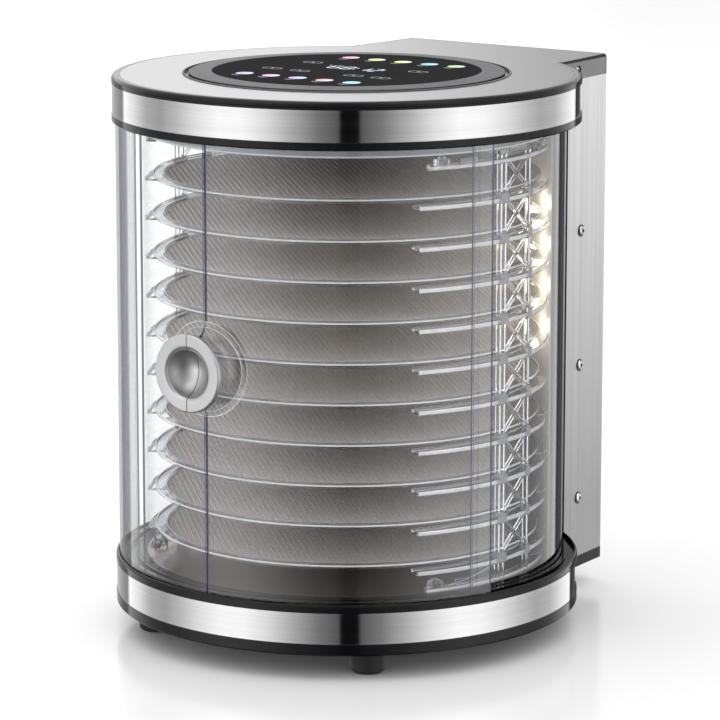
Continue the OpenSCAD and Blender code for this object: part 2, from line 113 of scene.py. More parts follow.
def finished(name, bm, materials, sharp=38.0):
    """Object from a bmesh, shaded smooth up to an angle, with its flat faces kept flat."""
    bmesh.ops.recalc_face_normals(bm, faces=bm.faces)
    mesh = bpy.data.meshes.new(name)
    bm.to_mesh(mesh)
    bm.free()
    for mat in materials:
        mesh.materials.append(mat)
    mesh.shade_smooth()
    mesh.set_sharp_from_angle(angle=math.radians(sharp))
    piece = bpy.data.objects.new(name, mesh)
    bpy.context.scene.collection.objects.link(piece)
    even = piece.modifiers.new("even", "WEIGHTED_NORMAL")
    even.keep_sharp = True
    return piece


def strip(bm, rings, closed, slot):
    """Faces between neighbouring rings of points that are all alike."""
    n = len(rings[0])
    for a, b in zip(rings, rings[1:] + (rings[:1] if closed else [])):
        for i in range(n):
            j = (i + 1) % n
            face = bm.faces.new((a[i], a[j], b[j], b[i]))
            face.material_index = slot[i] if isinstance(slot, list) else slot


def revolve(bm, outline, start=0.0, end=360.0, step=2.0, slot=0, cap_slot=None):
    """Adds a closed outline of (radius, height) points, turned round Z between two angles.

    slot is one material slot, or a list with one for each side of the outline.
    """
    whole = abs(end - start) > 359.9
    count = max(2, round(abs(end - start) / step))
    angles = [start + (end - start) * k / count for k in range(count if whole else count + 1)]
    rings = [[bm.verts.new(spot(r, angle, z)) for r, z in outline] for angle in angles]
    strip(bm, rings, whole, slot)
    if not whole:
        for ring in (rings[0], rings[-1]):
            bm.faces.new(ring).material_index = cap_slot if cap_slot is not None else 0


def bar(bm, middle, size, turn=None, bevel=0.5 * MM, slot=0):
    """Adds a box with rounded edges."""
    verts = bmesh.ops.create_cube(bm, size=1.0)["verts"]
    place = Matrix.Translation(middle) @ (turn or Matrix()) @ Matrix.Diagonal((*size, 1))
    bmesh.ops.transform(bm, matrix=place, verts=verts)
    faces = {face for v in verts for face in v.link_faces}
    for face in faces:
        face.material_index = slot
    edges = list({edge for v in verts for edge in v.link_edges})
    bmesh.ops.bevel(bm, geom=edges, offset=bevel, segments=2, profile=0.5, affect="EDGES", clamp_overlap=True)


def softened(node, width, material, sharp=30.0):
    """Copy of a CAD node's mesh with its edges rounded, which stands for the node."""
    bm = bmesh.new()
    bm.from_mesh(NODES[node].data)
    bmesh.ops.remove_doubles(bm, verts=bm.verts, dist=1e-6)
    bmesh.ops.dissolve_limit(bm, angle_limit=math.radians(0.5), verts=bm.verts, edges=bm.edges)
    edges = [e for e in bm.edges if len(e.link_faces) == 2 and e.calc_face_angle(0) > math.radians(sharp)]
    if width:
        bmesh.ops.bevel(
            bm, geom=edges, offset=width, segments=2, profile=0.5, affect="EDGES", clamp_overlap=True)
    for face in bm.faces:
        face.material_index = 0
    return finished(node + "_body", bm, [material], sharp)


def placed(piece, body, slot_name, *nodes):
    """Hangs a new piece under its body's empty and hides the nodes that it stands for. The finish's name,
    slot_name, is not used.
    """
    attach(piece, body)
    if nodes:
        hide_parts(*nodes)
    return piece


# ---- materials ----


class Shader:
    """Small builder for a material's node tree."""

    def __init__(self, name):
        self.material = bpy.data.materials.new(name)
        self.material.use_nodes = True
        self.tree = self.material.node_tree
        self.tree.nodes.clear()
        self.output = self.tree.nodes.new("ShaderNodeOutputMaterial")

    def add(self, kind, inputs=None, **settings):
        node = self.tree.nodes.new("ShaderNode" + kind)
        for key, value in settings.items():
            setattr(node, key, value)
        for key, value in (inputs or {}).items():
            if isinstance(value, bpy.types.NodeSocket):
                self.tree.links.new(value, node.inputs[key])
            else:
                node.inputs[key].default_value = value
        return node

    def surface(self, socket):
        self.tree.links.new(socket, self.output.inputs["Surface"])
        return self.material

    def maths(self, operation, a, b=0.0):
        return self.add("Math", {0: a, 1: b}, operation=operation).outputs[0]

    def grain(self, scale, detail=3.0, roughness=0.6):
        """Noise stretched along the axes with a low scale, from 0 to 1."""
        place = self.add("TexCoord").outputs["Object"]
        stretched = self.add("Mapping", {"Vector": place, "Scale": scale}).outputs["Vector"]
        noise = self.add("TexNoise", {
            "Vector": stretched, "Scale": 1.0, "Detail": detail, "Roughness": roughness})
        return noise.outputs["Fac"]

    def spread(self, value, low_end, high_end, source_low=0.3, source_high=0.7):
        """Value moved from one range to another."""
        return self.add("MapRange", {
            "Value": value, "From Min": source_low, "From Max": source_high,
            "To Min": low_end, "To Max": high_end}).outputs["Result"]

    def shade(self, value, dark, light, start=0.3, end=0.7):
        """Colour between two colours, by a value from 0 to 1."""
        ramp = self.add("ValToRGB", {"Fac": value})
        ramp.color_ramp.elements[0].position = start
        ramp.color_ramp.elements[1].position = end
        ramp.color_ramp.elements[0].color = (*dark, 1)
        ramp.color_ramp.elements[1].color = (*light, 1)
        return ramp.outputs["Color"]

    def bump(self, value, strength, distance):
        return self.add("Bump", {
            "Height": value, "Strength": strength, "Distance": distance}).outputs["Normal"]

    def outside(self, value):
        """Value on a surface's front, 0 on its back."""
        back = self.add("NewGeometry").outputs["Backfacing"]
        return self.maths("MULTIPLY", value, self.maths("SUBTRACT", 1.0, back))


def brushed(name, scale, dark, light, rough, aniso=0.8, axis="Z", turn=0.25, painted_darkening=None):
    """Brushed steel: fine lines in colour, roughness and bump, and a highlight drawn out across them.

    The last argument is painted shade: a direction, where along it the steel's colour starts and ends to
    darken, and to what share.
    """
    s = Shader(name)
    fine = s.grain(scale, detail=4.0)
    broad = s.grain(tuple(v * 0.12 for v in scale), detail=2.0)
    half = s.maths("MULTIPLY", s.maths("ADD", fine, broad), 0.5)
    colour = s.shade(half, dark, light)
    # Painted shade: the colour is darkened along a given direction.
    if painted_darkening:
        towards, start, end, end_share = painted_darkening
        place = s.add("TexCoord").outputs["Object"]
        along = s.add("VectorMath", {0: place, 1: towards}, operation="DOT_PRODUCT").outputs["Value"]
        share = s.spread(along, 1.0, end_share, start, end)
        colour = s.add("VectorMath", {0: colour, 1: share}, operation="MULTIPLY").outputs["Vector"]
    tangent = s.add("Tangent", direction_type="RADIAL", axis=axis).outputs["Tangent"]
    principled = s.add("BsdfPrincipled", {
        "Base Color": colour, "Metallic": 1.0,
        "Roughness": s.spread(half, rough - 0.04, rough + 0.05),
        "Anisotropic": aniso, "Anisotropic Rotation": turn, "Tangent": tangent,
        "Normal": s.bump(fine, 0.18, 0.00002)})
    return s.surface(principled.outputs["BSDF"])


def moulded(name, colour, rough, coat=0.0, speckle=0.015, grit=900.0, bump=0.06, mirror=0.5):
    """Moulded plastic or rubber: a little unevenness in colour, gloss and surface."""
    s = Shader(name)
    fine = s.grain((grit,) * 3, detail=2.0)
    broad = s.grain((14.0,) * 3, detail=3.0)
    dark = tuple(max(0.0, c - speckle) for c in colour)
    light = tuple(c + speckle for c in colour)
    principled = s.add("BsdfPrincipled", {
        "Base Color": s.shade(broad, dark, light), "Roughness": s.spread(broad, rough * 0.85, rough * 1.2),
        "Coat Weight": coat, "Coat Roughness": 0.03, "Specular IOR Level": mirror,
        "Normal": s.bump(fine, bump, 0.00005)})
    return s.surface(principled.outputs["BSDF"])


def metal(name, dark, light, rough, scale=(60.0, 60.0, 60.0), bump=0.1, metallic=1.0):
    """Plain metal with uneven tarnish and fine tool marks."""
    s = Shader(name)
    broad = s.grain(scale, detail=4.0)
    fine = s.grain((1400.0, 1400.0, 1400.0), detail=2.0)
    principled = s.add("BsdfPrincipled", {
        "Base Color": s.shade(broad, dark, light), "Metallic": metallic,
        "Roughness": s.spread(broad, rough * 0.8, rough * 1.3),
        "Normal": s.bump(fine, bump, 0.00003)})
    return s.surface(principled.outputs["BSDF"])


def clear_sheet(name, tint, edge_tint, mirror=1.6):
    """Thin clear panel: passes light straight on, greyer where seen along its surface, and mirrors."""
    s = Shader(name)
    haze = s.grain((9.0, 9.0, 9.0), detail=2.0)
    flat_on = s.shade(haze, tuple(c * 0.985 for c in tint), tint)
    along = s.add("LayerWeight", {"Blend": 0.5}).outputs["Facing"]
    share = s.spread(along, 0.0, 1.0, 0.55, 0.97)
    greyed = s.add("Mix", {"Factor": share, "A": flat_on, "B": (*edge_tint, 1)}, data_type="RGBA")
    through = s.add("BsdfTransparent", {"Color": greyed.outputs["Result"]})
    shine = s.add("BsdfGlossy", {"Color": (1, 1, 1, 1), "Roughness": 0.02})
    fresnel = s.add("Fresnel", {"IOR": mirror}).outputs["Fac"]
    mix = s.add("MixShader", {
        "Fac": s.outside(fresnel), 1: through.outputs["BSDF"], 2: shine.outputs["BSDF"]})
    return s.surface(mix.outputs["Shader"])


def clear_solid(name, tint, rough=0.02, waves=0.08):
    """Thick clear plastic that bends what is seen through it, and lets lamps through."""
    s = Shader(name)
    uneven = s.grain((70.0, 70.0, 70.0), detail=2.0)
    haze = s.grain((25.0, 25.0, 25.0), detail=2.0)
    principled = s.add("BsdfPrincipled", {
        "Base Color": s.shade(haze, tuple(c * 0.97 for c in tint), tint),
        "Roughness": rough, "IOR": 1.49, "Transmission Weight": 1.0,
        "Normal": s.bump(uneven, waves, 0.0006)})
    lamp = s.add("BsdfTransparent", {"Color": (0.93, 0.94, 0.95, 1)})
    shadow = s.add("LightPath").outputs["Is Shadow Ray"]
    mix = s.add("MixShader", {"Fac": shadow, 1: principled.outputs["BSDF"], 2: lamp.outputs["BSDF"]})
    return s.surface(mix.outputs["Shader"])


def frosted(name, colour, cover, rough=0.3):
    """Cloudy plastic: partly covers what is behind it."""
    s = Shader(name)
    cloud = s.grain((120.0,) * 3, detail=3.0)
    fine = s.grain((1500.0,) * 3, detail=2.0)
    body = s.add("BsdfPrincipled", {
        "Base Color": s.shade(cloud, tuple(c * 0.94 for c in colour), colour),
        "Roughness": s.spread(cloud, rough * 0.8, rough * 1.2),
        "Alpha": s.spread(cloud, cover - 0.04, cover + 0.04),
        "Normal": s.bump(fine, 0.05, 0.00003)})
    return s.surface(body.outputs["BSDF"])


def glowing(name, colour, strength, spread=0.06):
    """Lit surface, a little uneven across its face."""
    s = Shader(name)
    uneven = s.grain((400.0,) * 3, detail=2.0)
    light = tuple(min(1.0, c + spread) for c in colour)
    principled = s.add("BsdfPrincipled", {
        "Base Color": s.shade(uneven, colour, light), "Roughness": 0.25,
        "Emission Color": s.shade(uneven, colour, light), "Emission Strength": strength})
    return s.surface(principled.outputs["BSDF"])


LONG, FINE = 5.0, 1500.0
BAND_STEEL = brushed("band_steel", (LONG, LONG, FINE), (0.42,) * 3, (0.50,) * 3, 0.09)
# Painted shade: the housing's colour darkens from 0.38 m down to 0.06 m height, to half.
HOUSING_STEEL = brushed("housing_steel", (FINE, FINE, LONG), (0.60,) * 3, (0.78,) * 3, 0.30, turn=0.0,
                        painted_darkening=((0, 0, -1), -0.38, -0.06, 0.5))
# Painted shade: the top plate's colour darkens towards its right rear, to under half.
PLATE_STEEL = brushed("plate_steel", (LONG, FINE, LONG), (0.41,) * 3, (0.56,) * 3, 0.24, 0.6, "Y", 0.0,
                      painted_darkening=((0.81, 0.59, 0), -0.04, 0.16, 0.45))
FLOOR_STEEL = brushed("floor_steel", (LONG, LONG, FINE * 0.6), (0.50,) * 3, (0.66,) * 3, 0.30, 0.5)
LINER_PAINT = moulded("liner_paint", (0.74, 0.745, 0.75), 0.32, speckle=0.02, grit=1200.0)
BLACK_GLOSS = moulded("black_gloss", (0.004, 0.004, 0.005), 0.10, speckle=0.002, bump=0.02, mirror=0.18)
CAP_SIDE = moulded("cap_side", (0.17, 0.17, 0.175), 0.35, speckle=0.01, mirror=0.3)
BLACK_MATTE = moulded("black_matte", (0.022, 0.022, 0.023), 0.45, speckle=0.006)
RUBBER = moulded("foot_rubber", (0.014, 0.014, 0.014), 0.6, speckle=0.004, bump=0.2, mirror=0.3)
BEZEL = moulded("bezel_plastic", (0.085, 0.085, 0.09), 0.38, speckle=0.01, mirror=0.08)
PANEL_GLASS = moulded("panel_glass", (0.006, 0.006, 0.007), 0.05, 0.04, 0.001, bump=0.0, mirror=0.0)
SCREW_STEEL = metal("screw_steel", (0.45,) * 3, (0.68,) * 3, 0.22)
# Painted shade: dark steel for the screw sockets and the rings round the heads.
SCREW_SHADE = metal("screw_painted_shade", (0.03,) * 3, (0.06,) * 3, 0.35)
MOTOR_METAL = metal("motor_metal", (0.35,) * 3, (0.52,) * 3, 0.38)
TURNTABLE = metal("turntable_metal", (0.26, 0.22, 0.20), (0.36, 0.31, 0.29), 0.14, (6.0, 6.0, 6.0), 0.03)
FAN_METAL = metal("fan_metal", (0.52,) * 3, (0.66,) * 3, 0.3)
GRIP_SATIN = metal("grip_satin", (0.44, 0.44, 0.445), (0.49, 0.49, 0.495), 0.42, (30.0,) * 3, 0.03)
WOVEN = metal("woven_steel", (0.46, 0.43, 0.41), (0.74, 0.70, 0.67), 0.40, (500.0,) * 3, 0.05, metallic=0.4)
MICA = moulded("heater_mica", (0.50, 0.43, 0.30), 0.6, speckle=0.05, bump=0.3)
HEATER_WIRE = metal("heater_wire", (0.16, 0.14, 0.12), (0.28, 0.25, 0.22), 0.4, (200.0,) * 3)
CIRCUIT = moulded("circuit_board", (0.02, 0.17, 0.07), 0.35, speckle=0.015, bump=0.25)
LED_GLOW = glowing("led_glow", (1.0, 0.86, 0.58), 6.0)
MARK_BRIGHT = glowing("mark_bright", (0.70, 0.76, 0.92), 0.45)
MARK_DIM = glowing("mark_dim", (0.22, 0.24, 0.27), 0.12, 0.02)
CLEAR_PANEL = clear_sheet("clear_panel", (0.975, 0.98, 0.985), (0.52, 0.53, 0.55))
# Painted shade: the cut edges of the clear sheets get an opaque dark blue, standing for the dark look of
# light bent through a clear edge.
PANEL_EDGE_SHADE = moulded("panel_edge_painted_shade", (0.035, 0.035, 0.085), 0.12, speckle=0.006)
CLEAR_BOSS = clear_sheet("clear_boss", (0.93, 0.935, 0.945), (0.30, 0.30, 0.31), 1.7)
CLEAR_RACK = clear_solid("clear_rack", (0.97, 0.975, 0.985))
RACK_NODE = frosted("rack_node", (0.30, 0.31, 0.33), 0.60)
RIM_FLANGE = clear_sheet("rim_flange", (0.90, 0.905, 0.91), (0.62, 0.63, 0.65), 1.5)
# Painted highlight: a cloudy white on the tray rims' lips, the top ring's lower edge and the grip necks'
# flare, standing for the bright lines that light draws along clear plastic edges.
RIM_HIGHLIGHT = frosted("rim_painted_highlight", (0.95, 0.955, 0.97), 0.72, 0.15)
RIM_SHADE = frosted("rim_shade", (0.20, 0.19, 0.19), 0.55, 0.3)
# Painted highlight: a cloudy white on the outward faces of the rack's rails, webs and feet, standing for
# bright lines on clear plastic.
RAIL_HIGHLIGHT = frosted("rail_painted_highlight", (0.92, 0.92, 0.95), 0.6)
RING_FROST = frosted("ring_frost", (0.42, 0.44, 0.46), 0.62)


def dress(material, *nodes):
    """Gives CAD nodes their material."""
    for name in nodes:
        mesh = NODES[name].data
        mesh.materials.clear()
        mesh.materials.append(material)


dress(BAND_STEEL, "base_band", "top_band")
dress(HOUSING_STEEL, "rear_shell")
dress(FLOOR_STEEL, "chamber_floor", "fan_shroud")
dress(LINER_PAINT, "rear_liner")
dress(BLACK_GLOSS, "base_tub", "left_post", "right_post")
dress(BLACK_MATTE, "base_cover", "rear_vent", "power_inlet", "chamber_ceiling")
dress(RUBBER, "feet")
dress(SCREW_STEEL, "foot_screws", "drive_shaft", "temperature_probe")
dress(MOTOR_METAL, "turntable_motor", "fan_motor")
dress(TURNTABLE, "turntable")
dress(FAN_METAL, "fan_wheel")
dress(MICA, "heater_frame")
dress(HEATER_WIRE, "heater_coil")
dress(CIRCUIT, "power_board", "control_board")
dress(LED_GLOW, "led_lenses")
dress(PANEL_GLASS, "control_glass")

placed(softened("top_plate", 0.22 * MM, PLATE_STEEL), "housing", "brushed_steel", "top_plate")


def build_cap():
    """Cap with its moulded edges glossy and the flat sides of its rear half satin grey."""
    cap = softened("top_cap", 0, BLACK_GLOSS)
    cap.data.materials.append(CAP_SIDE)
    for face in cap.data.polygons:
        upright = abs(face.normal.z) < 0.02 and face.area > 40 * MM * MM
        flat = upright and (abs(face.normal.x) > 0.98 or face.normal.y > 0.98)
        if flat and face.center.y > 125 * MM and face.center.z > high("rear_shell").z - 1 * MM:
            face.material_index = 1
    placed(cap, "housing", "black_gloss", "top_cap")


build_cap()


# ---- clear panels and doors ----


def add_curved_panel(bm, radius, start, end, heights, clear_part=None):
    """Adds a curved sheet with rounded upright edges.

    Its ends take slot 1, a dark painted edge shade, but in one part of its height its start is clear.
    """
    inner = radius - PANEL_THICKNESS
    count = max(2, round(abs(end - start) / 1.5))
    turn = math.copysign(math.degrees(0.5 * MM / radius), end - start)
    first, last = start + turn, end - turn
    angles = [first, first + turn * 1.4] + [first + (last - first) * k / count for k in range(1, count)]
    angles += [last - turn * 1.4, last]
    count += 2
    soft = 0.45 * MM
    plan = [(radius, a) for a in angles]
    plan += [(radius - soft * 0.3, end - turn * 0.3), (radius - soft, end)]
    plan += [(inner + soft, end), (inner + soft * 0.3, end - turn * 0.3)]
    plan += [(inner, a) for a in reversed(angles)]
    plan += [(inner + soft * 0.3, start + turn * 0.3), (inner + soft, start)]
    plan += [(radius - soft, start), (radius - soft * 0.3, start + turn * 0.3)]
    rings = [[bm.verts.new(spot(r, a, z)) for r, a in plan] for z in heights]
    n = len(plan)
    for part, (lower, upper) in enumerate(zip(rings, rings[1:])):
        for i in range(n):
            j = (i + 1) % n
            face = bm.faces.new((lower[i], lower[j], upper[j], upper[i]))
            on_end = abs(plan[i][1] - plan[j][1]) < 1e-9 and plan[i][1] in (start, end)
            at_start = i in (0, n - 1) or plan[i][1] == start
            edge = on_end or i in (0, count - 1)
            face.material_index = 1 if edge and not (at_start and part == clear_part) else 0
    for ring in (rings[0], rings[-1]):
        for k in range(count):
            back = n - 5 - k
            bm.faces.new((ring[k], ring[k + 1], ring[back - 1], ring[back]))
        bm.faces.new((ring[count], *ring[count + 1:count + 6]))
        bm.faces.new((ring[0], ring[n - 5], *ring[n - 4:]))


def add_boss(bm, side):
    """Adds half of the clear neck that carries a grip cap, a shell that flares where it meets the door."""
    foot = 33 * MM
    neck = []
    for first, last_angle, steps in ((-90, -92.5, 1), (-101, -112, 1), (-114, -170, 5)):
        neck += arc(foot, 172 * MM, 10.5 * MM, first, last_angle, steps)
    neck += arc(26.4 * MM, 176 * MM, 4.2 * MM, 195, 90, 6)
    base_y, top_y = neck[0][1], neck[-1][1]
    wall = 2.2 * MM
    rings = []
    steps = 40
    for k in range(steps + 1):
        a = math.pi * k / steps
        outer, inner = [], []
        for rho, y in neck:
            door_y = math.sqrt(DOOR_RADIUS ** 2 - (foot * math.sin(a)) ** 2)
            depth = door_y + (top_y - door_y) * (y - base_y) / (top_y - base_y)
            for radius, line in ((rho, outer), (rho - wall, inner)):
                x = side * (radius * math.sin(a) + MEETING_GAP)
                line.append(bm.verts.new((x, -depth, GRIP_HEIGHT + radius * math.cos(a))))
        rings.append(outer + inner[::-1])
    last = len(neck) - 1
    # The cut faces at the meeting line are painted dark as edge shade, and the glint faces, two narrow bands
    # where the neck flares onto the door, take a white painted highlight.
    cut_face_shade, body, glint = 1, 2, 3
    slots = [body] * (2 * last + 2)
    slots[0] = slots[3] = glint
    strip(bm, rings, False, slots)
    for ring in (rings[0], rings[-1]):
        for i in range(last):
            face = bm.faces.new((ring[i], ring[i + 1], ring[-2 - i], ring[-1 - i]))
            face.material_index = cut_face_shade


def build_door(side_name, side):
    bm = bmesh.new()
    node = side_name + "_door"
    start = math.degrees(MEETING_GAP / DOOR_RADIUS)
    end = 73.4
    bottom, top = low(node).z, high(node).z
    heights = (bottom, GRIP_HEIGHT - 32 * MM, GRIP_HEIGHT + 32 * MM, top)
    add_curved_panel(bm, DOOR_RADIUS, side * start, side * end, heights, 1)
    add_boss(bm, side)
    for z in (bottom + 1.1 * MM, top - 1.1 * MM):
        angle = side * (end - 2.4)
        turn = Matrix.Rotation(math.radians(angle), 4, "Z")
        bar(bm, spot(DOOR_RADIUS - 1.4 * MM, angle, z), (10 * MM, 3.7 * MM, 2.2 * MM), turn, 0.6 * MM, 2)
    piece = finished(node + "_panel", bm, [CLEAR_PANEL, PANEL_EDGE_SHADE, CLEAR_BOSS, RIM_HIGHLIGHT])
    placed(piece, node, "clear_panel", node)


def build_window(side_name, side):
    bm = bmesh.new()
    node = side_name + "_window"
    add_curved_panel(bm, WINDOW_RADIUS, side * 69.6, side * 113.7, (low(node).z, high(node).z))
    piece = finished(node + "_panel", bm, [CLEAR_PANEL, PANEL_EDGE_SHADE])
    placed(piece, "housing", "clear_panel", node)


def build_grip_cap(side_name, side):
    """Half of the satin cap: a flat ring round a deep dish, with rounded outer and dish edges, cut flat along
    the meeting line.
    """
    dish, depth, wall = 16.5 * MM, 13.5 * MM, 1.6 * MM
    ball = (dish ** 2 + depth ** 2) / (2 * depth)
    ball_y = GRIP_FRONT - depth + ball
    open_angle = math.degrees(math.asin(dish / ball))
    back_y = GRIP_FRONT - 3.2 * MM
    outline = arc(0, ball_y, ball, -90, -90 + open_angle - 5, 14)
    outline += arc(dish + 3.1 * MM, GRIP_FRONT - 3.0 * MM, 3.0 * MM, 162, 90, 7)
    outline += arc(GRIP_RADIUS - 1.4 * MM, GRIP_FRONT - 1.4 * MM, 1.4 * MM, 90, 0, 4)
    outline += [(GRIP_RADIUS, back_y), (dish + 2 * MM, back_y)]
    outline += arc(0, ball_y, ball + wall, -90 + open_angle - 8, -90, 8)
    outline[0] = (0, outline[0][1])
    outline[-1] = (0, outline[-1][1])
    bm = bmesh.new()
    steps = 48
    rings = []
    for k in range(steps + 1):
        a = math.pi * k / steps
        ring = []
        for rho, y in outline:
            x, z = side * (rho * math.sin(a) + MEETING_GAP), GRIP_HEIGHT + rho * math.cos(a)
            ring.append(bm.verts.new((x, -y, z)))
        rings.append(ring)
    strip(bm, rings, False, 0)
    for ring in (rings[0], rings[-1]):
        bm.faces.new(ring)
    bmesh.ops.remove_doubles(bm, verts=bm.verts, dist=1e-7)
    node = side_name + "_grip_cap"
    placed(finished(node + "_body", bm, [GRIP_SATIN], 50.0), side_name + "_door", "grip_satin", node)


for side_word, side_sign in SIDES.items():
    build_door(side_word, side_sign)
    build_window(side_word, side_sign)
    build_grip_cap(side_word, side_sign)


# ---- rack ----


def outer_slots(outline, radius, slot):
    """A slot for the sides of an outline that lie at a radius, and 0 for the others."""
    pairs = zip(outline, outline[1:] + outline[:1])
    return [slot if min(a.x, b.x) > radius - 0.1 * MM else 0 for a, b in pairs]


def add_gussets(bm, side, radius, foot):
    """Adds curved webs that rise from the foot's bosses to the posts."""
    for lean in (-1, 1):
        rings = []
        for k in range(13):
            angle = side * (90 + lean * (24 - 17 * k / 12))
            top = foot + (1 + 8 * (k / 12) ** 1.4) * MM
            rings.append([bm.verts.new(spot(r, angle, z)) for r, z in (
                (radius - 1.4 * MM, foot), (radius, foot), (radius, top), (radius - 1.4 * MM, top))])
        # The outer face takes slot 2, the painted highlight.
        strip(bm, rings, False, [0, 0, 2, 0])
        for ring in (rings[0], rings[-1]):
            bm.faces.new(ring)


def build_rack_frame(side_name, side):
    """Clear side frame: curved channel rails, posts with darker joints, cross braces, and feet."""
    node = side_name + "_rack_frame"
    rail_half, rail_drop, rail_t = 34.0, 4.8 * MM, 3.6 * MM
    inner = RACK_RADIUS - 12.9 * MM
    post_x = TRAY_RADIUS + 0.8 * MM
    pitch = (high("tray_rim_10").z - high("tray_rim_1").z) / 9
    foot_z, top_z = low(node).z, high("rack_top_ring").z - 6.6 * MM
    post_z = high("base_tub").z
    # Outward faces take this slot, a painted highlight.
    highlight_slot = 2
    bm = bmesh.new()
    for i in TRAYS:
        z = high(f"tray_rim_{i}").z - rail_drop
        channel = rounded([
            (inner, z - rail_t), (RACK_RADIUS, z - rail_t), (RACK_RADIUS, z), (RACK_RADIUS - 1.6 * MM, z),
            (RACK_RADIUS - 2.2 * MM, z - 2.1 * MM), (inner + 2.0 * MM, z - 2.1 * MM),
            (inner + 1.4 * MM, z - 0.6 * MM), (inner, z - 0.6 * MM)], 0.5 * MM, 2)
        slots = outer_slots(channel, RACK_RADIUS, highlight_slot)
        revolve(bm, channel, side * (90 - rail_half), side * (90 + rail_half), 2.0, slots)
        for y, width in ((-12.15, 11.7), (19.3, 6.6)):
            middle = (side * (post_x + 2.45 * MM), y * MM, z - 0.4 * MM)
            bar(bm, middle, (4.9 * MM, width * MM, 7.6 * MM), None, 0.8 * MM, 1)
        lift = z + 0.8 * MM + pitch / 2
        rise, run = pitch - 6 * MM, 27 * MM
        for lean in (-1, 1):
            turn = Matrix.Rotation(lean * math.atan2(rise, run), 4, "X")
            middle = (side * (post_x + 2.3 * MM), 5 * MM, lift)
            bar(bm, middle, (2.2 * MM, math.hypot(rise, run), 2.2 * MM), turn, 0.5 * MM)
    for y in (-15.6, -10.2, 19.4):
        middle = (side * (post_x + 2.3 * MM), y * MM, (post_z + top_z) / 2)
        bar(bm, middle, (3.8 * MM, 2.8 * MM, top_z - post_z), None, 0.7 * MM)
    tie = (side * (post_x + 2.3 * MM), 1.9 * MM, top_z - 2 * MM)
    bar(bm, tie, (4 * MM, 37.8 * MM, 4 * MM), None, 0.6 * MM)
    add_gussets(bm, side, RACK_RADIUS - 3 * MM, foot_z + 3 * MM)
    lower_foot = (foot_z, RACK_RADIUS - 1.7 * MM, 27.4)
    upper_foot = (top_z - 10 * MM, RACK_RADIUS, 26.2)
    for z, outer, boss_angle in (lower_foot, upper_foot):
        near, upper = inner + 5.5 * MM, z + 3.4 * MM
        section = rounded([(near, z), (outer, z), (outer, upper), (near, upper)], 0.6 * MM, 2)
        revolve(bm, section, side * 59, side * 121, 2.0, outer_slots(section, outer, highlight_slot))
        for turn_by in (-boss_angle, boss_angle):
            angle = side * (90 + turn_by)
            turn = Matrix.Rotation(math.radians(angle), 4, "Z")
            boss = spot(outer - 4.9 * MM, angle, z + 3.75 * MM)
            peg = spot(outer - 5.3 * MM, angle, z + 7.5 * MM)
            bar(bm, boss, (10 * MM, 8.6 * MM, 7.5 * MM), turn, 1.2 * MM)
            bar(bm, peg, (4.4 * MM, 5.4 * MM, 3 * MM), turn, 1.0 * MM)
        for turn_by in (-18, 18):
            angle = side * (90 + turn_by)
            turn = Matrix.Rotation(math.radians(angle), 4, "Z")
            bar(bm, spot(outer - 2.8 * MM, angle, z + 3.5 * MM), (16 * MM, 1.6 * MM, 7 * MM), turn, 0.6 * MM)
    placed(finished(node + "_body", bm, [CLEAR_RACK, RACK_NODE, RAIL_HIGHLIGHT]), "rack", "clear_rack", node)


def build_top_ring():
    """Cloudy ring that joins the side frames, with a painted highlight along its lower outer edge."""
    ring_low, ring_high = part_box("rack_top_ring")
    outer, inner = ring_high.x, ring_high.x - 10.4 * MM
    bottom, top = ring_low.z, ring_high.z
    outline = [
        (inner, bottom), (outer - 0.6 * MM, bottom), (outer, bottom + 0.3 * MM), (outer, bottom + 1.3 * MM),
        (outer, top - 0.4 * MM), (outer - 0.4 * MM, top), (outer - 2 * MM, top),
        (outer - 2 * MM, bottom + 2.2 * MM), (inner, bottom + 2.2 * MM)]
    bm = bmesh.new()
    revolve(bm, outline, slot=[0, 1, 1, 0, 0, 0, 0, 0, 0])
    placed(finished("rack_top_ring_body", bm, [RING_FROST, RIM_HIGHLIGHT]), "rack", "clear_rack", "rack_top_ring")


build_rack_frame("left", -1)
build_rack_frame("right", 1)
build_top_ring()


# ---- trays ----


def woven_disc(radius, pitch, wire):
    """Woven wire disc at height 0: two sets of wires that pass over and under each other."""
    bm = bmesh.new()
    count = int(radius / pitch)
    sides = [(math.cos(a), math.sin(a)) for a in (math.radians(45 + 90 * k) for k in range(4))]
    for across in (False, True):
        for i in range(-count, count + 1):
            offset = (i + 0.5) * pitch
            if abs(offset) >= radius - pitch * 0.3:
                continue
            reach = math.sqrt(radius * radius - offset * offset)
            last = int(reach / pitch)
            rings = []
            for j in range(-last - 1, last + 1):
                along = max(-reach, min(reach, (j + 0.5) * pitch))
                over = 1 if (i + j + across) % 2 else -1
                ring = []
                for side, up in sides:
                    x, y = along, offset + side * wire
                    z = over * wire * 0.55 + up * wire
                    ring.append(bm.verts.new((y, x, z) if across else (x, y, z)))
                rings.append(ring)
            strip(bm, rings, False, 0)
    mesh = bpy.data.meshes.new("woven_disc")
    bmesh.ops.recalc_face_normals(bm, faces=bm.faces)
    bm.to_mesh(mesh)
    bm.free()
    mesh.shade_smooth()
    mesh.materials.append(WOVEN)
    return mesh


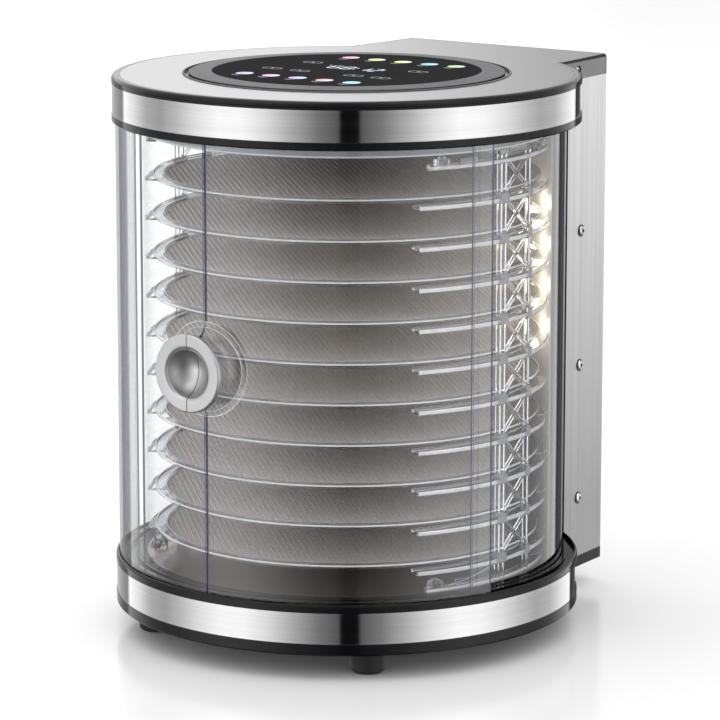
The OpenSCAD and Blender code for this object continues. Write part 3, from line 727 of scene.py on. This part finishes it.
def rim_mesh(inner, outer, bottom):
    """Clear rim with its top at height 0: a flange, a rolled lip on its outside and a foot ring inside."""
    # The lip faces, on the outer roll and the inner ring's top, take the painted highlight, and the narrow
    # faces in the shadow slot a painted shade.
    flange, lip, shadow = 0, 1, 2
    outline = [
        ((inner, bottom), flange), ((inner + 2.2 * MM, bottom), flange),
        ((inner + 2.2 * MM, -2.4 * MM), flange),
        ((outer - 0.6 * MM, -2.4 * MM), shadow), ((outer, -1.9 * MM), flange), ((outer, -1.0 * MM), lip),
        ((outer, -0.4 * MM), lip), ((outer - 0.4 * MM, 0), lip), ((outer - 1.0 * MM, 0), shadow),
        ((outer - 1.6 * MM, -1.1 * MM), flange),
        ((inner + 1.6 * MM, -1.1 * MM), flange), ((inner + 1.1 * MM, 0), lip),
        ((inner + 0.3 * MM, 0), shadow),
        ((inner, -0.3 * MM), shadow)]
    bm = bmesh.new()
    revolve(bm, [point for point, _ in outline], step=2.5, slot=[slot for _, slot in outline])
    piece = finished("rim_shape", bm, [RIM_FLANGE, RIM_HIGHLIGHT, RIM_SHADE])
    mesh = piece.data
    bpy.data.objects.remove(piece)
    return mesh


def build_trays():
    mesh_radius = high("tray_mesh_1").x
    weave = woven_disc(mesh_radius - 0.1 * MM, 2.7 * MM, 0.36 * MM)
    rim = rim_mesh(mesh_radius, TRAY_RADIUS, low("tray_rim_1").z - high("tray_rim_1").z)
    for i in TRAYS:
        cloth = bpy.data.objects.new(f"woven_mesh_{i}", weave)
        cloth.location.z = (low(f"tray_mesh_{i}").z + high(f"tray_mesh_{i}").z) / 2
        edge = bpy.data.objects.new(f"clear_rim_{i}", rim)
        edge.location.z = high(f"tray_rim_{i}").z
        bpy.context.scene.collection.objects.link(cloth)
        bpy.context.scene.collection.objects.link(edge)
        placed(cloth, f"tray_{i}", "woven_mesh", f"tray_mesh_{i}")
        placed(edge, f"tray_{i}", "clear_rim", f"tray_rim_{i}")


build_trays()


# ---- screws ----


def add_screw(bm, place, radius, height, shade_slot):
    """Adds a domed head with a six-sided socket and a thin ring under it, along a frame's Z axis; the socket
    and the ring are painted dark as the shade in and round the head.
    """
    dome = [(radius * 0.42, height * 0.45), (radius * 0.42, height), (radius * 0.72, height * 0.9),
            (radius * 0.93, height * 0.55), (radius, height * 0.1), (radius, -0.3 * MM),
            (0.2 * MM, -0.3 * MM), (0.2 * MM, height * 0.45)]
    shade_ring = [(radius * 0.9, 0), (radius * 1.22, 0), (radius * 1.22, 0.25 * MM), (radius * 0.9, 0.25 * MM)]
    segments = 36
    for outline, slots in ((dome, [shade_slot] + [0] * 6 + [shade_slot]), (shade_ring, shade_slot)):
        rings = []
        for k in range(segments):
            a = 2 * math.pi * k / segments
            six = math.cos(math.pi / 6) / math.cos(a % (math.pi / 3) - math.pi / 6)
            ring = []
            for i, (rho, z) in enumerate(outline):
                reach = rho * six if outline is dome and i < 2 else rho
                ring.append(bm.verts.new(place @ Vector((reach * math.cos(a), reach * math.sin(a), z))))
            rings.append(ring)
        strip(bm, rings, True, slots)


def build_screws():
    bm = bmesh.new()
    shell = high("rear_shell")
    shell_front = 145 * MM
    lean = math.degrees(math.atan(HOUSING_TAPER))
    # place along the side, height, radius, head height, offset outwards: three in the shell, one in the cap
    spots = [(166 * MM, z * MM, 3.7 * MM, 1.7 * MM, 0.0) for z in (70, 170, 270)]
    spots.append((160 * MM, high("top_plate").z - 8 * MM, 2.7 * MM, 1.0 * MM, -1.4 * MM))
    for side in SIDES.values():
        for y, z, radius, height, sunk in spots:
            x = shell.x - (y - shell_front) * HOUSING_TAPER
            out = Matrix.Rotation(math.radians(90 if side > 0 else -90), 4, "Y")
            aim = Matrix.Rotation(math.radians(side * lean), 4, "Z") @ out
            place = Matrix.Translation((side * x, y, z)) @ aim @ Matrix.Translation((0, 0, sunk))
            add_screw(bm, place, radius, height, 1)
    heads = finished("housing_screw_heads", bm, [SCREW_STEEL, SCREW_SHADE])
    placed(heads, "housing", "screw_steel", "housing_screws")


build_screws()


# ---- touch panel ----


def build_bezel():
    """Bezel with a raised disc, and a dark groove between the disc and the outer ring."""
    outer, top = high("control_bezel").x, high("control_glass").z - 1.7 * MM
    glass = high("control_glass").x + 0.2 * MM
    floor = top - 0.9 * MM
    ring, groove = 0, 1
    outline = [
        ((glass, floor - 6 * MM), ring), ((outer - 2.8 * MM, floor - 6 * MM), ring),
        ((outer - 2.8 * MM, top), ring),
        ((outer, top), ring), ((outer, top + 0.3 * MM), ring), ((outer - 0.4 * MM, top + 0.7 * MM), ring),
        ((outer - 1.7 * MM, top + 0.7 * MM), groove), ((outer - 1.9 * MM, floor), groove),
        ((outer - 4.2 * MM, floor), groove), ((outer - 4.4 * MM, top + 0.9 * MM), ring),
        ((outer - 4.9 * MM, top + 1.25 * MM), ring), ((glass + 0.9 * MM, top + 1.9 * MM), ring),
        ((glass + 0.2 * MM, top + 1.8 * MM), ring), ((glass, top + 1.5 * MM), ring)]
    bm = bmesh.new()
    revolve(bm, [point for point, _ in outline], slot=[slot for _, slot in outline])
    bezel = finished("control_bezel_body", bm, [BEZEL, BLACK_GLOSS], 25.0)
    placed(bezel, "housing", "bezel_plastic", "control_bezel")


build_bezel()


TINTS = [(0.42, 0.40, 0.78), (0.85, 0.30, 0.62), (0.50, 0.42, 0.85), (0.88, 0.36, 0.42), (0.30, 0.72, 0.85),
         (0.85, 0.25, 0.42), (0.66, 0.85, 0.16), (0.72, 0.86, 0.22), (0.16, 0.66, 0.72), (0.45, 0.80, 0.30)]
ICON_PITCH = 23 * MM
ICON_RADIUS = 6.3 * MM
ROW_LEAN = 0.05
ROW_START = -43 * MM
ROWS = (-58 * MM, 60 * MM)


def icon_tint(index, tint):
    """Lit colour that fades to a pale blue at one side of each round icon."""
    s = Shader(f"icon_tint_{index}")
    place = s.add("TexCoord").outputs["Object"]
    along = s.add("VectorMath", {0: place, 1: (1, -ROW_LEAN, 0)}, operation="DOT_PRODUCT").outputs["Value"]
    shifted = s.maths("ADD", along, 0.5 * ICON_PITCH - ROW_START)
    cell = s.maths("FRACT", s.maths("DIVIDE", shifted, ICON_PITCH))
    grain = s.maths("MULTIPLY", s.grain((500.0,) * 3), 0.12)
    colour = s.shade(s.maths("ADD", cell, grain), tint, (0.55, 0.78, 0.86), 0.50, 0.84)
    principled = s.add("BsdfPrincipled", {
        "Base Color": colour, "Roughness": 0.3, "Specular IOR Level": 0.1,
        "Emission Color": colour, "Emission Strength": 0.05})
    return s.surface(principled.outputs["BSDF"])


def add_patch(bm, outline, z, thickness, slot):
    """Adds a flat raised patch from a closed plan outline."""
    lower = [bm.verts.new((x, y, z)) for x, y in outline]
    upper = [bm.verts.new((x, y, z + thickness)) for x, y in outline]
    strip(bm, [lower, upper], False, slot)
    bm.faces.new(upper).material_index = slot
    bm.faces.new(lower).material_index = slot


def add_frame_mark(bm, x, y, width, height, line, z, thickness, slot):
    """Adds the outline of a rounded box, drawn with a thin line."""
    rings = []
    for shrink in (0, line):
        w, h = width / 2 - shrink, height / 2 - shrink
        plan = rounded([(x - w, y - h), (x + w, y - h), (x + w, y + h), (x - w, y + h)], h * 0.9, 5)
        rings.append([tuple(p) for p in plan])
    outer, inner = rings
    section = [[bm.verts.new((*point, height_z)) for point, height_z in (
        (outer[k], z), (outer[k], z + thickness), (inner[k], z + thickness), (inner[k], z))]
        for k in range(len(outer))]
    strip(bm, section, True, slot)


def icon_spots():
    return [(ROW_START + i * ICON_PITCH + ROW_LEAN * y, y) for y in ROWS for i in range(5)]


def build_icons(z):
    bm = bmesh.new()
    for k, (x, y) in enumerate(icon_spots()):
        add_patch(bm, arc(x, y, ICON_RADIUS, 0, 360 - 7.5, 47), z, 0.12 * MM, k)
    materials = [icon_tint(k + 1, tint) for k, tint in enumerate(TINTS)]
    placed(finished("touch_icons", bm, materials), "housing", "led_lens")


def build_marks(z):
    """Generic marks: a lit digit display, dim key outlines and short strokes beside the icons."""
    bm = bmesh.new()
    thick = 0.07 * MM
    bright, dim = 0, 1
    digit_w, digit_h, line = 7.2 * MM, 13 * MM, 1.1 * MM
    segments = {
        "a": (0, 1, True), "b": (0.5, 0.5, False), "c": (0.5, -0.5, False), "d": (0, -1, True),
        "e": (-0.5, -0.5, False), "f": (-0.5, 0.5, False), "g": (0, 0, True)}
    digits = {"1": "bc", "2": "abged", "6": "afgecd", "8": "abcdefg"}
    for k, digit in enumerate("6812"):
        middle_x = (k - 1.5) * 10.6 * MM + (1.5 if k > 1 else -1.5) * MM + 2 * MM
        for name in digits[digit]:
            sx, sy, flat = segments[name]
            size = (digit_w - 1.6 * line, line) if flat else (line, digit_h / 2 - 0.9 * line)
            x = middle_x + sx * digit_w
            y = 8 * MM + sy * digit_h / 2
            w, h = size[0] / 2, size[1] / 2
            add_patch(bm, [(x - w, y - h), (x + w, y - h), (x + w, y + h), (x - w, y + h)], z, thick, bright)
    for x, y in ((2, 5), (2, 11), (-24, 14)):
        add_patch(bm, arc(x * MM, y * MM, 0.8 * MM, 0, 330, 11), z, thick, bright)
    for x, y in ((-48, -23), (-23, -24), (24, -25), (47, -25), (-45, 21), (48, 19)):
        add_frame_mark(bm, x * MM, y * MM, 15 * MM, 8 * MM, 0.7 * MM, z, thick, dim)
        add_patch(bm, arc(x * MM, y * MM, 1.3 * MM, 0, 330, 11), z, thick, dim)
    for x, y in icon_spots():
        for length, drop in ((8 * MM, 9.6 * MM), (5 * MM, 11.4 * MM)):
            w, h = length / 2, 0.35 * MM
            cy = y - drop
            add_patch(bm, [(x - w, cy - h), (x + w, cy - h), (x + w, cy + h), (x - w, cy + h)], z, thick, dim)
    placed(finished("panel_marks", bm, [MARK_BRIGHT, MARK_DIM]), "housing", "led_lens")


build_icons(high("control_glass").z)
build_marks(high("control_glass").z)


# ---- studio ----


# bearing of each soft box from the lens in degrees, its reach to the left and to the right, and its level
SOFT_BOXES = ((-140, 0, 24, 0.95), (-58, 38, 33, 1.05), (60, 33, 44, 1.05), (147, 26, 0, 0.85))
DARK_STRIP = (-3.4, 6.8)
BEHIND = ((-180, 0.40), (-141, 0.20)), ((148, 0.05), (180, 0.10))


def softbox_level(bearing):
    """Sum of the soft boxes' light at a bearing; a reach of 0 is a hard edge."""
    level = 0.0
    for middle, left, right, strength in SOFT_BOXES:
        away = bearing - middle
        reach = left if away < 0 else right
        if away == 0:
            level += strength
        elif reach:
            level += strength * math.exp(-(away / reach) ** 2)
    return level


def softbox_stops():
    """Stops of the light at and below eye level, split by a dark strip and closed by the dark behind."""
    start, end = DARK_STRIP
    edge = 0.2
    first, last = SOFT_BOXES[0][0], SOFT_BOXES[-1][0]
    left = [first + 12.6 * k for k in range(11)] + [start - edge]
    right = [end + edge] + [last - 13.0 * k for k in range(10, -1, -1)]
    stops = [(bearing, softbox_level(bearing)) for bearing in left]
    stops += [(start + edge, 0.004), (end - edge, 0.004)]
    stops += [(bearing, softbox_level(bearing)) for bearing in right]
    return [*BEHIND[0], *stops, *BEHIND[1]]


def softbox_sky():
    """White studio: soft boxes round the object as brightness by direction, plain white for the camera."""
    world = bpy.data.worlds.new("studio")
    bpy.context.scene.world = world
    world.use_nodes = True
    tree = world.node_tree
    tree.nodes.clear()

    def add(kind, inputs=None, **settings):
        node = tree.nodes.new("ShaderNode" + kind)
        for key, value in settings.items():
            setattr(node, key, value)
        for key, value in (inputs or {}).items():
            if isinstance(value, bpy.types.NodeSocket):
                tree.links.new(value, node.inputs[key])
            else:
                node.inputs[key].default_value = value
        return node

    direction = add("TexCoord").outputs["Generated"]
    a = math.radians(CAMERA_AZIMUTH)
    right = add("VectorMath", {0: direction, 1: (math.cos(a), math.sin(a), 0)}, operation="DOT_PRODUCT")
    near = add("VectorMath", {0: direction, 1: (math.sin(a), -math.cos(a), 0)}, operation="DOT_PRODUCT")
    up = add("SeparateXYZ", {0: direction}).outputs["Z"]
    bearing = add("Math", {0: right.outputs["Value"], 1: near.outputs["Value"]}, operation="ARCTAN2")
    turn = add("MapRange", {
        "Value": bearing.outputs[0], "From Min": -math.pi, "From Max": math.pi}).outputs["Result"]
    lower = ramp_of(add, turn, 360.0, 180.0, softbox_stops())
    upper = ramp_of(add, turn, 360.0, 180.0, [
        (-180, 0.62), (-150, 0.70), (-100, 0.50), (-58, 1.0), (-24, 0.40), (0, 0.15), (24, 0.40), (56, 1.0),
        (100, 0.45), (150, 0.50), (176, 0.40), (178, 0.62), (180, 0.62)])
    side = add("MapRange", {"Value": up, "From Min": 0.06, "From Max": 0.12}).outputs["Result"]
    around = add("Mix", {"Factor": side, "A": lower, "B": upper}, data_type="RGBA").outputs["Result"]
    height = add("MapRange", {"Value": up, "From Min": -1.0, "From Max": 1.0}).outputs["Result"]
    above = ramp_of(add, height, 2.0, 1.0, [
        (-1.0, 0.2), (-0.5, 0.4), (-0.34, 0.95), (0.3, 1.0), (0.45, 0.8), (0.8, 1.3), (1.0, 1.5)])
    both = add("Math", {0: around, 1: above}, operation="MULTIPLY").outputs[0]
    lit = add("Background", {"Color": (1.0, 1.0, 1.0, 1.0), "Strength": add(
        "Math", {0: both, 1: 2.1}, operation="MULTIPLY").outputs[0]})
    soft = add("Background", {"Color": (1.0, 1.0, 1.0, 1.0), "Strength": 1.25})
    plain = add("Background", {"Color": (1.0, 1.0, 1.0, 1.0), "Strength": 1.0})
    path = add("LightPath")
    matte = add("MixShader", {"Fac": path.outputs["Is Diffuse Ray"], 1: lit.outputs[0], 2: soft.outputs[0]})
    mix = add("MixShader", {"Fac": path.outputs["Is Camera Ray"], 1: matte.outputs[0], 2: plain.outputs[0]})
    out = add("OutputWorld")
    tree.links.new(mix.outputs[0], out.inputs["Surface"])


def ramp_of(add, value, span, offset, stops):
    """Colour ramp with its stops given in the value's own units."""
    node = add("ValToRGB", {"Fac": value})
    ramp = node.color_ramp
    while len(ramp.elements) > 1:
        ramp.elements.remove(ramp.elements[-1])
    for k, (where, level) in enumerate(stops):
        position = (where + offset) / span
        element = ramp.elements[0] if k == 0 else ramp.elements.new(position)
        element.position = position
        element.color = (level, level, level, 1)
    return node.outputs["Color"]


def led_light():
    """Warm light in front of each LED on the liner."""
    lowest, step = 208.5 * MM, 29.8 * MM
    for side in SIDES.values():
        for k in range(4):
            lamp = bpy.data.lights.new("led_light", "POINT")
            lamp.energy = 0.016
            lamp.color = (1.0, 0.84, 0.58)
            lamp.shadow_soft_size = 0.006
            holder = bpy.data.objects.new("led_light", lamp)
            holder.location = spot(139 * MM, side * 139.5, lowest + step * k)
            bpy.context.scene.collection.objects.link(holder)


def studio_floor():
    s = Shader("studio_floor")
    cloud = s.grain((0.8, 0.8, 0.8), detail=2.0)
    principled = s.add("BsdfPrincipled", {
        "Base Color": s.shade(cloud, (0.90, 0.90, 0.905), (0.92, 0.92, 0.922)),
        "Roughness": 0.16, "Specular IOR Level": 0.3})
    s.surface(principled.outputs["BSDF"])
    bm = bmesh.new()
    bmesh.ops.create_grid(bm, x_segments=8, y_segments=8, size=14.0)
    mesh = bpy.data.meshes.new("studio_floor")
    bm.to_mesh(mesh)
    bm.free()
    mesh.materials.append(s.material)
    floor = bpy.data.objects.new("studio_floor", mesh)
    bpy.context.scene.collection.objects.link(floor)
    floor.location.z = -0.0002
    floor.visible_glossy = False


def place_camera():
    """Camera aimed at the drum's axis at mid height."""
    a, e = math.radians(CAMERA_AZIMUTH), math.radians(CAMERA_ELEVATION)
    back = Vector((math.sin(a) * math.cos(e), -math.cos(a) * math.cos(e), math.sin(e)))
    data = bpy.data.cameras.new("camera")
    data.lens = 189.2
    data.sensor_width = 36.0
    data.shift_x = 0.0183
    data.shift_y = -0.0193
    data.clip_end = 60.0
    camera = bpy.data.objects.new("camera", data)
    camera.location = Vector((0, 0, AIM_HEIGHT)) + back * CAMERA_DISTANCE
    camera.rotation_mode = "QUATERNION"
    camera.rotation_quaternion = (-back).to_track_quat("-Z", "Y")
    bpy.context.scene.collection.objects.link(camera)
    bpy.context.scene.camera = camera


place_camera()
softbox_sky()
led_light()
studio_floor()
scene = bpy.context.scene
scene.view_settings.view_transform = "Standard"
scene.cycles.max_bounces = 20
scene.cycles.transmission_bounces = 20
scene.cycles.transparent_max_bounces = 64
